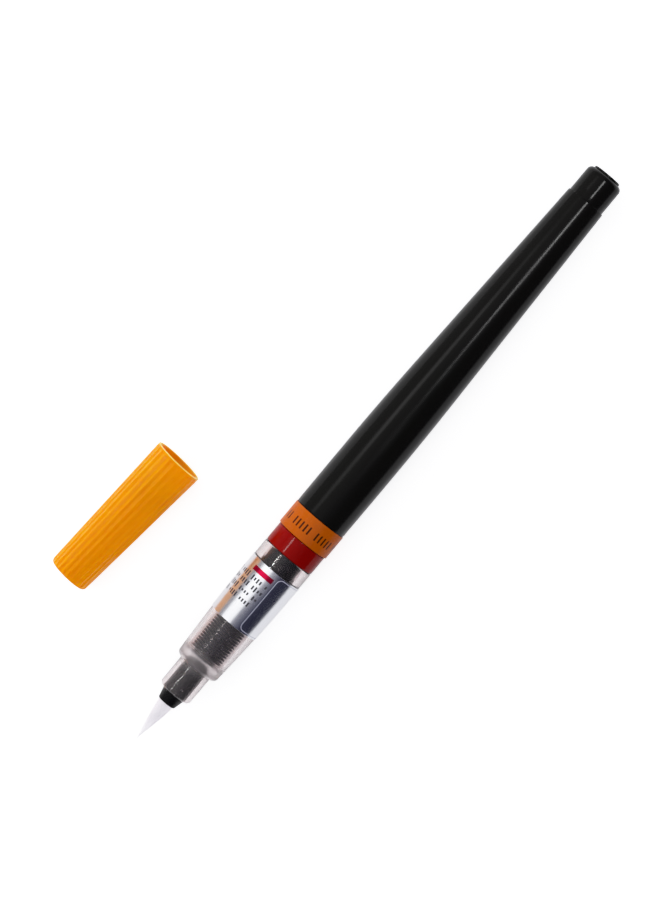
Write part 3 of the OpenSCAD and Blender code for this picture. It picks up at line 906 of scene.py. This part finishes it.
def makeFloor():
    deselect()
    bpy.ops.mesh.primitive_plane_add(size=studio["floor"], location=(0, 0, 0))
    floor = bpy.context.active_object
    floor.name = "floor"
    floor.data.materials.append(paperFloor())


def makeCard():
    # a glowing peach card stands beside the label, out of the camera's view, and shows only as the foil
    # mirrors it: its glow stands in for the cap's orange light, as a painted reflection on the foil
    start, end = span("section_label")[:2]
    deselect()
    bpy.ops.mesh.primitive_plane_add(size=1, rotation=(math.pi / 2, 0, 0), location=(
        penTip + (start + end) / 2 * mm, axisY + card["away"] * mm, card["height"] * mm))
    sheet = bpy.context.active_object
    sheet.name = "card"
    sheet.scale = (card["size"][0] * mm, card["size"][1] * mm, 1)
    sheet.data.materials.append(newMaterial("cardPeach", "E0A070", 0.9, Emission_Color=hexColour("E8B890"),
                                            Emission_Strength=card["glow"])[0])
    for ray in ("camera", "diffuse", "transmission", "shadow"):
        setattr(sheet, "visible_" + ray, False)


def addArea(name, place, target, size, watts, inGloss=True):
    bpy.ops.object.light_add(type="AREA", location=place)
    lamp = bpy.context.active_object
    lamp.name = name
    lamp.rotation_euler = (Vector(target) - Vector(place)).to_track_quat("-Z", "Y").to_euler()
    lamp.data.shape = "RECTANGLE"
    lamp.data.size, lamp.data.size_y = size
    lamp.data.energy = watts
    lamp.visible_glossy = inGloss
    lamp.visible_transmission = inGloss
    return lamp


def addStrip(name, strip):
    # a strip lamp along the pen, which only glossy pieces mirror
    lean = math.radians(strip["lean"])
    middle = Vector((penTip + (strip["from"] + strip["to"]) / 2 * mm, axisY, axisZ))
    place = middle + Vector((0, math.sin(lean), math.cos(lean))) * studio["stripAway"]
    size = ((strip["to"] - strip["from"]) * mm, strip["width"])
    addArea(name, place, middle, size, strip["watts"]).visible_diffuse = False


def litBy(lamp, name, *pieces):
    # keeps a lamp to the named pieces
    lit = bpy.data.collections.new(name)
    for piece in pieces:
        lit.objects.link(bpy.data.objects[piece])
    lamp.light_linking.receiver_collection = lit


def makeStudio():
    # a bright window wall on the cap's side and a dim room on the other, as glossy pieces mirror them
    world = bpy.data.worlds.new("studio")
    bpy.context.scene.world = world
    world.use_nodes = True
    tree = world.node_tree
    tree.nodes.clear()
    around = addNode(tree, "ShaderNodeTexCoord")
    side = addNode(tree, "ShaderNodeSeparateXYZ", {0: around.outputs["Generated"]}).outputs[1]
    room = shadeBy(tree, side, -1.0, 1.0, [(place, hexColour(colour)) for place, colour in (
        (-0.6, "26273A"), (-0.42, "4A4C60"), (-0.14, "6E6D7C"), (0.0, "8E8D96"), (0.14, "A0A0A8"),
        (0.4, "B4B4B8"), (0.8, "A8A8AC"))])
    eye = addNode(tree, "ShaderNodeLightPath")
    seen = addNode(tree, "ShaderNodeMix", {
        "Factor": eye.outputs["Is Camera Ray"], 6: room, 7: hexColour("FFFFFF")}, data_type="RGBA")
    sky = addNode(tree, "ShaderNodeBackground", {"Color": seen.outputs[2], "Strength": 1.0})
    addNode(tree, "ShaderNodeOutputWorld", {"Surface": sky.outputs[0]})
    addArea("overhead", (0, 0, 1.6), (0, 0, 0), (2.4, 2.4), studio["overhead"], inGloss=False)
    addArea("window", (0, 1.2, 0.3), (0, 0, 0), (2.0, 0.6), studio["window"], inGloss=False)
    # thin lights draw the long highlights, the front one only on the pieces ahead of the band
    for name, strip in strips.items():
        addStrip(name, strip)
    litBy(bpy.data.objects["stripFront"], "frontPieces", "stopperRing", "sectionShell", "brushHolder",
          "capShell")
    # a pale wall that only the foil mirrors
    panel = addArea("foilPanel", (0, 0.56, 0.88), (0, 0, 0.1), (1.6, 0.9), studio["foilPanel"])
    panel.visible_diffuse = False
    litBy(panel, "foil", "sectionLabel")
    # light that the floor throws up at the far side of the cap and the tuft
    fill = addArea("farFill", (0, -0.6, 0.15), (0, 0, 0), (0.8, 0.3), studio["farFill"], inGloss=False)
    litBy(fill, "pale", "capShell", "brushTuft")
    settings = bpy.context.scene.view_settings
    settings.view_transform = "Standard"
    settings.use_curve_mapping = True    # film's soft shoulder, which ends in pure white at 1.5
    settings.curve_mapping.white_level = (1.5, 1.5, 1.5)
    shoulder = settings.curve_mapping.curves[3]
    for bright, shown in ((0.2, 0.30), (0.35, 0.52), (0.5, 0.70), (0.65, 0.84), (0.8, 0.94)):
        shoulder.points.new(bright, shown)
    settings.curve_mapping.update()


makeFloor()
makeCard()
makeStudio()
print("studio made")
